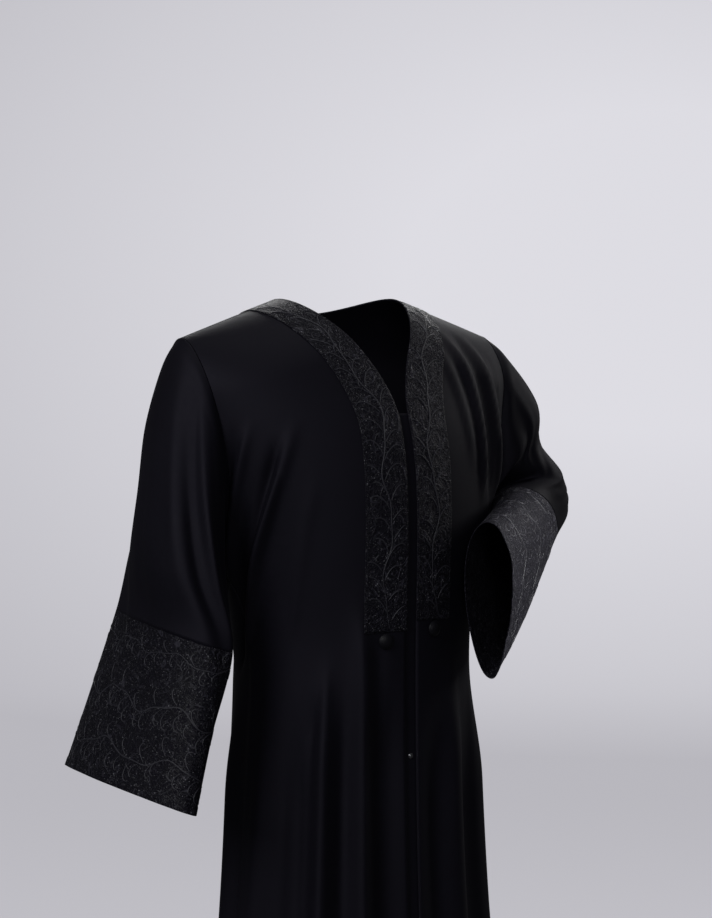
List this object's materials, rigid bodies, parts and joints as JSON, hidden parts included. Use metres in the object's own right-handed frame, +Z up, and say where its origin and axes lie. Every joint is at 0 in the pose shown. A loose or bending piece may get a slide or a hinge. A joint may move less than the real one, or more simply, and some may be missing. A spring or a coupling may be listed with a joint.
{
  "type": "open-front abaya cloak",
  "caption": "Long open-front cloak of black crepe worn loose, with embroidered front bands, covered buttons and deep flared embroidered cuffs.",
  "frame": {"origin": "midway between the shoulders, at the height of the neck ends of the shoulder seams, where the wearer's shoulders carry the cloak", "axes": "+Z up toward the neck, -Y the way the open front faces, +X to the wearer's left"},
  "size_m": [0.7304, 0.397, 1.4224],
  "materials": {
    "crepe": "matte crepe with a soft low sheen",
    "brocade": "crinkled, finely glinting, corded with vines of its own colour",
    "covered_button": "cloth pulled smooth over a dome",
    "stud_metal": "polished"
  },
  "bodies": {
    "root": {"back": "crepe", "front_right": "crepe", "front_left": "crepe", "sleeve_right": "crepe", "sleeve_left": "crepe", "underlap": "crepe", "cuff_right": "brocade", "cuff_left": "brocade", "band_right": "brocade", "band_left": "brocade", "band_back_neck": "brocade", "button_right": "covered_button", "button_left": "covered_button", "press_stud": "stud_metal"}
  },
  "joints": []
}
